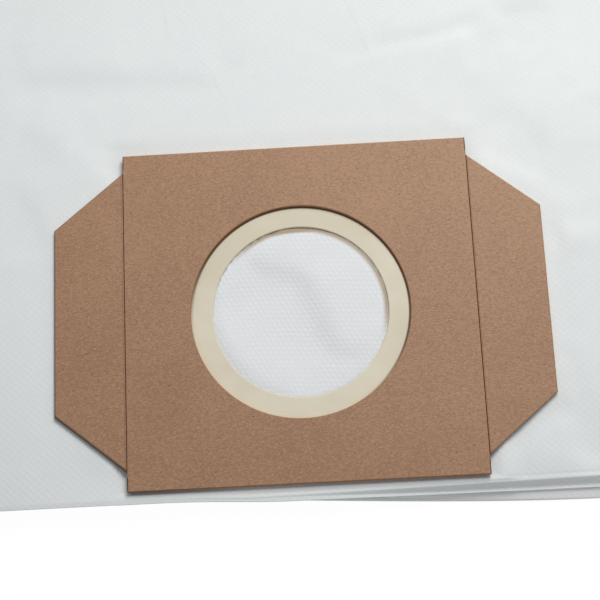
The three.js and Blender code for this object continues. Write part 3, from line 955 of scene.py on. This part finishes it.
def pressed_fibres(finish, vector, x, y):
    """Tone of the face, with pale fibres and dark specks, and the three noises that it is made of."""
    mottle = finish.noise(vector, MOTTLE_SIZE, 4.0, 0.6, (0.82, 1.2, 1.0))
    blotch = finish.noise(vector, BLOTCH_SIZE, 2.0, 0.5)
    fibres = finish.noise(vector, STRAND_SIZE, 2.5, 0.6, (0.75, 1.5, 1.0))
    grain = finish.noise(vector, GRAIN_SIZE, 2.0, 0.6, (0.8, 1.0, 1.0))
    # Painted light: the tone rises towards the far right, where the lamp is; the blotch noise is the board's
    # own tone
    painted_falloff_and_blotch = y * 0.4 + x * 0.1 + (blotch - 0.5) * 0.12
    light = (mottle * 0.32 + fibres * 0.43 + grain * 0.25 + painted_falloff_and_blotch).above(0.363, 0.637)
    tone = finish.mix(light, KRAFT_DARK, KRAFT)
    tone = finish.mix(fibres.above(0.60, 0.74) * 0.30, tone, KRAFT_PALE)
    cells = {"Vector": finish.scaled(vector, (1.0, 1.5, 1.0)), "Scale": 1 / SPECK_CELL, "Randomness": 1.0}
    reach = finish.node("ShaderNodeTexVoronoi", None, cells)
    return finish.mix((1.0 - reach.above(0.030, 0.085)) * 0.9, tone, SPECK), mottle, fibres, grain


def cut_colour(finish, x, z, nx, ny):
    """Colour of the cut sides: painted light on those that face the lamp, with a painted highlight along the
    top, painted shade on the left, and painted shade in the score.
    """
    left = (0.0 - x).above(20 * MM, 60 * MM)
    lit = finish.mix(z.above(face_z - 0.4 * MM, face_z - 0.3 * MM), CUT_PAINTED_LIGHT, CUT_PAINTED_HIGHLIGHT)
    facing_lamp = nx * TO_LAMP[0] + ny * TO_LAMP[1]
    cut = finish.mix(facing_lamp.above(0.1, 0.6), finish.mix(left, CUT, CUT_PAINTED_SHADE), lit)
    beside_score = (x.magnitude() - half_panel).magnitude()
    # Painted shade in the score
    return finish.mix(beside_score.above(0.28 * MM, 0.34 * MM), SCORE_PAINTED_SHADE, cut)


def wing_painted_shade(x, y):
    """Painted shade on the face: 1 in a narrow strip along the left wing's near slant, and less along its
    outer edge.
    """
    outwards = 0.0 - x
    flank = outwards.above(half_width - 0.5 * MM, half_width - 0.15 * MM)
    slant = ((0.0 - y) - root + (outwards - half_panel) * WING_SLANT) * (1 + WING_SLANT**2) ** -0.5
    on_wing = outwards.above(half_panel, half_panel + 0.2 * MM)
    return flank * 0.5 + slant.above(-0.95 * MM, -0.35 * MM) * on_wing * 0.9


def kraft_board():
    """Finish of both boards, with x and y measured from the collar's centre."""
    finish = Finish("kraft_board", roughness=0.6, specular=0.5)
    vector, (x, y, z) = finish.place()
    x, y = x - collar[0], y - collar[1]
    facing = finish.node("ShaderNodeNewGeometry", output="Normal")
    nx, ny, nz = (finish.node("ShaderNodeSeparateXYZ", None, {0: facing}, i) for i in range(3))
    tone, mottle, fibres, grain = pressed_fibres(finish, vector, x, y)
    # Painted shade: a dark strip along the left wing's near slant and outer edge
    tone = finish.mix(wing_painted_shade(x, y), tone, CUT_PAINTED_SHADE)
    sides = 1.0 - nz.magnitude().above(0.88, 0.99) * z.above(face_z - 0.3 * MM, face_z - 0.12 * MM)
    finish.colour(finish.mix(sides * 0.92, tone, cut_colour(finish, x, z, nx, ny)))
    finish.bump(mottle * 0.35 + fibres * 0.35 + grain * 0.3, BOARD_BUMP)
    finish.roughness(0.50 + grain * 0.14 + sides * 0.3)
    return finish


back_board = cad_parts["back_board"]
back_board.data.materials.clear()
kraft_board().give_to(front, back_board)

# %% [markdown]
# The ring is natural rubber sheet: cream, evenly coloured and faintly dusty, with a satin surface. A slow
# noise makes it a shade darker here and there, and a fine one breaks up its gloss. It is painted darker
# towards the far side, as painted shade from the board. Its punched edges are painted paler than its face,
# as painted light, and on the lamp's side a dark line of painted shadow shows where it goes in under the
# board.

# %% Finish of the rubber
SHADE_SIZE, DUST_SIZE, DUST_BUMP = 14 * MM, 0.35 * MM, 0.008 * MM
# The palest cream is painted light for the steep punched edges
CREAM, CREAM_DARK, CREAM_PAINTED_LIGHT = paint(224, 216, 195), paint(214, 205, 182), paint(252, 247, 232)
# Painted shadow of the board on the ring's outer edge
BOARD_PAINTED_SHADOW = paint(96, 74, 52)


def cream_rubber():
    """Finish of the ring, with x and y measured from the collar's centre."""
    finish = Finish("cream_rubber", roughness=0.5, specular=0.35)
    vector, (x, y, _) = finish.place()
    x, y = x - collar[0], y - collar[1]
    facing = finish.node("ShaderNodeNewGeometry", output="Normal")
    upward = finish.node("ShaderNodeSeparateXYZ", None, {0: facing}, 2)
    slow = finish.noise(vector, SHADE_SIZE, 2.0, 0.5)
    dust = finish.noise(vector, DUST_SIZE, 3.0, 0.6)
    # Painted shade: the tone falls towards the far side, where the board shades the ring
    light = (slow * 0.8 + dust * 0.2 - y * 5.0).above(0.3, 0.7)
    tone = finish.mix(light, CREAM_DARK, CREAM)
    lamp_side = x * TO_LAMP[0] + y * TO_LAMP[1]
    # Painted shadow: a dark line at the ring's outer edge on the lamp's side, where the board's hole wall
    # shades it
    line = ((x**2.0 + y**2.0) ** 0.5).above(31.8 * MM, 32.2 * MM) * lamp_side.above(-22 * MM, 6 * MM)
    # Painted light: the steep punched edges are mixed towards the palest cream
    tone = finish.mix(1.0 - upward.above(-0.1, 0.5), tone, CREAM_PAINTED_LIGHT)
    finish.colour(finish.mix(line, tone, BOARD_PAINTED_SHADOW))
    finish.roughness(0.42 + dust * 0.2)
    finish.bump(dust, DUST_BUMP)
    return finish


cream_rubber().give_to(ring)

# %% [markdown]
# Nothing moves on this object, so every piece rides on the one body. The new pieces take the place of the
# solids they were fitted to, which are hidden.

# %% Put the pieces on the frame
for piece, node, slot_name in (
    (bag, "filter_bag", "nonwoven"),
    (front, "front_board", "kraft_board"),
    (ring, "seal_ring", "seal_rubber"),
):
    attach(piece, "root")
    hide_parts(node)

# %% [markdown]
# The bag lies on a plain white table. To the camera the table is almost pure white and keeps a trace of
# shadow, while for the light it is an ordinary pale surface. The same goes for the sky around it.

# %% Table and sky
TABLE_SIZE, TABLE_GLOW, GLOW_LEVEL = 6.0, 0.95, 1.02
SKY, SKY_LEVEL = (0.94, 0.97, 1.0, 1.0), 0.335


def seen_by_camera(sheet):
    """1 for what the camera sees itself or in a mirror, 0 for what only lights the scene."""
    kinds = ("Is Camera Ray", "Is Glossy Ray", "Is Transmission Ray")
    rays = [sheet.node("ShaderNodeLightPath", output=kind) for kind in kinds]
    return (rays[0] + rays[1] + rays[2]).above(0.0, 1.0)


def white_table():
    half = TABLE_SIZE / 2
    corners = np.array([[-half, -half, 0], [half, -half, 0], [half, half, 0], [-half, half, 0]])
    table = mesh_object("table", corners + [0, 0, -0.02 * MM], np.array([[0, 1, 2, 3]]), smooth=False)
    finish = Finish("table_white", roughness=0.9, specular=0.1)
    finish.colour(paint(244, 245, 246))
    glow = finish.node("ShaderNodeEmission", None, {"Color": (1, 1, 1, 1), "Strength": GLOW_LEVEL})
    plain = Wire(finish, finish.shader.outputs[0])
    shown = seen_by_camera(finish) * TABLE_GLOW
    blend = finish.node("ShaderNodeMixShader", None, {0: shown, 1: plain, 2: glow})
    output = next(n for n in finish.tree.nodes if n.type == "OUTPUT_MATERIAL")
    finish.feed(output.inputs["Surface"], blend)
    finish.give_to(table)


class Sky(Finish):
    """The world's node tree, with the same tools as a material's."""

    def __init__(self):
        world = bpy.data.worlds.new("sky")
        bpy.context.scene.world = world
        world.use_nodes = True
        self.tree = world.node_tree
        self.tree.nodes.clear()
        light = self.node("ShaderNodeBackground", None, {"Color": SKY, "Strength": SKY_LEVEL})
        white = self.node("ShaderNodeBackground", None, {"Color": (1, 1, 1, 1), "Strength": 1.0})
        shown = self.node("ShaderNodeMixShader", None, {0: seen_by_camera(self), 1: light, 2: white})
        output = self.tree.nodes.new("ShaderNodeOutputWorld")
        self.feed(output.inputs["Surface"], shown)


white_table()
Sky()

# %% [markdown]
# One soft lamp stands close behind the collar and to the right. That is why the slopes that face the viewer
# are grey, and, together with painted shade on the board's cut edges and a painted falloff of the board's
# tone, why the near and left edges of the collar are dark and the near left corner is darker than the far
# right one. The sky alone keeps the shadows open, as the white of a light tent does.

# %% The lamp
def soft_lamp(name, place, size, power, colour):
    """A square lamp at place, in metres from the collar's centre, that points at the collar."""
    data = bpy.data.lights.new(name, "AREA")
    data.shape = "SQUARE"
    data.size = size
    data.energy = power
    data.color = colour
    lamp = bpy.data.objects.new(name, data)
    target = Vector((collar[0], collar[1], face_z))
    lamp.location = target + Vector(place)
    lamp.rotation_euler = (target - lamp.location).to_track_quat("-Z", "Y").to_euler()
    bpy.context.scene.collection.objects.link(lamp)


soft_lamp("key", place=(0.13, 0.27, 0.44), size=0.28, power=1.98, colour=(1.0, 0.985, 0.96))

# %% [markdown]
# The camera stands where the picture was taken from: almost above the collar, a little towards the near
# side, and turned slightly about its own axis, so that the collar leans in the frame.

# %% Camera
SENSOR = 36
FOCAL = 1485.1 / 600 * SENSOR
AIM = (-0.07 * MM, 2.92 * MM, 0.0)
DISTANCE, AZIMUTH, ELEVATION, ROLL = 439.9 * MM, 4.65, 74.12, -7.58

aim = Vector((collar[0], collar[1], face_z)) + Vector(AIM)
azimuth, elevation = math.radians(AZIMUTH), math.radians(ELEVATION)
level = math.cos(elevation)
back_to_eye = Vector((math.sin(azimuth) * level, -math.cos(azimuth) * level, math.sin(elevation)))
eye = bpy.data.objects.new("camera", bpy.data.cameras.new("camera"))
eye.data.sensor_width = SENSOR
eye.data.lens = FOCAL
eye.data.clip_start, eye.data.clip_end = 0.01, 50
eye.location = aim + back_to_eye * DISTANCE
eye.rotation_mode = "QUATERNION"
eye.rotation_quaternion = (-back_to_eye).to_track_quat("-Z", "Y") @ Quaternion((0, 0, 1), math.radians(ROLL))
bpy.context.scene.collection.objects.link(eye)
bpy.context.scene.camera = eye
bpy.context.scene.view_settings.view_transform = "Standard"
print("camera at", [round(v / MM, 1) for v in eye.location], "mm, lens", round(FOCAL, 1))
